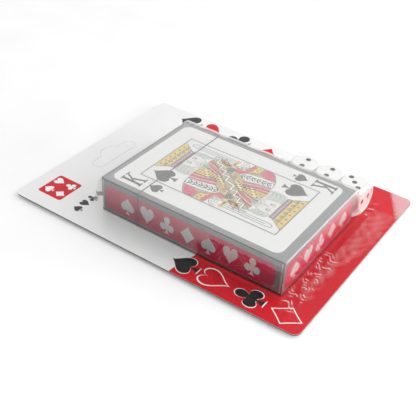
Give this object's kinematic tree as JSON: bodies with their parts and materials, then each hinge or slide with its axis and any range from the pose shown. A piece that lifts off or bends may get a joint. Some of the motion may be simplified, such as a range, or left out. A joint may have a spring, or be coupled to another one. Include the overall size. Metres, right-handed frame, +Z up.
{
  "type": "carded playing card pack",
  "caption": "Carded pack of playing cards: a wrapped tuck carton with a full deck and a row of dice under clear skin film on a printed backing card with a hang slot.",
  "frame": {"origin": "middle of the backing card's underside", "axes": "+X from the hang header to the plain end, +Y from the carton's front side to the dice, +Z up out of the backing card"},
  "size_m": [0.146, 0.11, 0.0181],
  "materials": {
    "backing_board": "white coated board, printed red at one end",
    "skin_film": "clear thin film, glossy",
    "overwrap": "clear cellophane, glossy",
    "tear_tape": "thin glossy tape",
    "carton_board": "grey printed carton board, satin",
    "carton_inside": "bare grey-white board, matte",
    "card_stock": "plastic-coated card, satin",
    "dice_plastic": "white moulded plastic with dark pips"
  },
  "bodies": {
    "backing": {"backing_card": "backing_board"},
    "knockout": {"slot_knockout": "backing_board", "slot_film": "skin_film"},
    "film": {"skin_film": "skin_film"},
    "carton": {"carton_sleeve": "carton_board", "end_flap_outer": "carton_board", "end_flap_inner": "carton_inside", "end_dust_flap_front": "carton_inside", "end_dust_flap_back": "carton_inside", "overwrap_body": "overwrap", "spades": "card_stock", "hearts": "card_stock", "clubs": "card_stock", "diamonds": "card_stock", "jokers": "card_stock"},
    "cap": {"overwrap_cap": "overwrap", "tear_tape": "tear_tape"},
    "tuck": {"tuck_flap": "carton_board", "tuck_tongue": "carton_inside"},
    "dust_front": {"dust_flap_front": "carton_inside"},
    "dust_back": {"dust_flap_back": "carton_inside"},
    "die_one": {"die_left": "dice_plastic"},
    "die_two": {"die_middle": "dice_plastic"},
    "die_three": {"die_right": "dice_plastic"}
  },
  "joints": [
    {"name": "film_peel", "type": "hinge", "parent": "backing", "child": "film", "pos_m": [0.073, 0, 0.0007], "axis": [0, 1, 0], "range_deg": [0, 120]},
    {"name": "knockout_press", "type": "slide", "parent": "backing", "child": "knockout", "axis": [0, 0, 1], "range_m": [0, 0.008]},
    {"name": "carton_lift", "type": "slide", "parent": "backing", "child": "carton", "axis": [0, 0, 1], "range_m": [0, 0.03]},
    {"name": "cap_pull", "type": "slide", "parent": "carton", "child": "cap", "axis": [-1, 0, 0], "range_m": [0, 0.027]},
    {"name": "tuck_open", "type": "hinge", "parent": "carton", "child": "tuck", "pos_m": [-0.034, -0.0092, 0.00087], "axis": [0, -1, 0], "range_deg": [0, 90], "deforming": ["tuck_tongue"]},
    {"name": "dust_front_open", "type": "hinge", "parent": "carton", "child": "dust_front", "pos_m": [-0.03358, -0.0397, 0.009], "axis": [0, 0, 1], "range_deg": [0, 40]},
    {"name": "dust_back_open", "type": "hinge", "parent": "carton", "child": "dust_back", "pos_m": [-0.03358, 0.0213, 0.009], "axis": [0, 0, -1], "range_deg": [0, 40]},
    {"name": "die_left_lift", "type": "slide", "parent": "backing", "child": "die_one", "axis": [0, 0, 1], "range_m": [0, 0.03]},
    {"name": "die_middle_lift", "type": "slide", "parent": "backing", "child": "die_two", "axis": [0, 0, 1], "range_m": [0, 0.03]},
    {"name": "die_right_lift", "type": "slide", "parent": "backing", "child": "die_three", "axis": [0, 0, 1], "range_m": [0, 0.03]}
  ],
  "couplings": [
    {"joint": "carton_lift", "follows": "film_peel", "m_per_rad": 0.0143},
    {"joint": "cap_pull", "follows": "film_peel", "m_per_rad": 0.0126},
    {"joint": "tuck_open", "follows": "film_peel", "ratio": 0.7333},
    {"joint": "dust_front_open", "follows": "film_peel", "ratio": 0.33},
    {"joint": "dust_back_open", "follows": "film_peel", "ratio": 0.33},
    {"joint": "die_left_lift", "follows": "film_peel", "m_per_rad": 0.0143},
    {"joint": "die_middle_lift", "follows": "film_peel", "m_per_rad": 0.0143},
    {"joint": "die_right_lift", "follows": "film_peel", "m_per_rad": 0.0143}
  ]
}
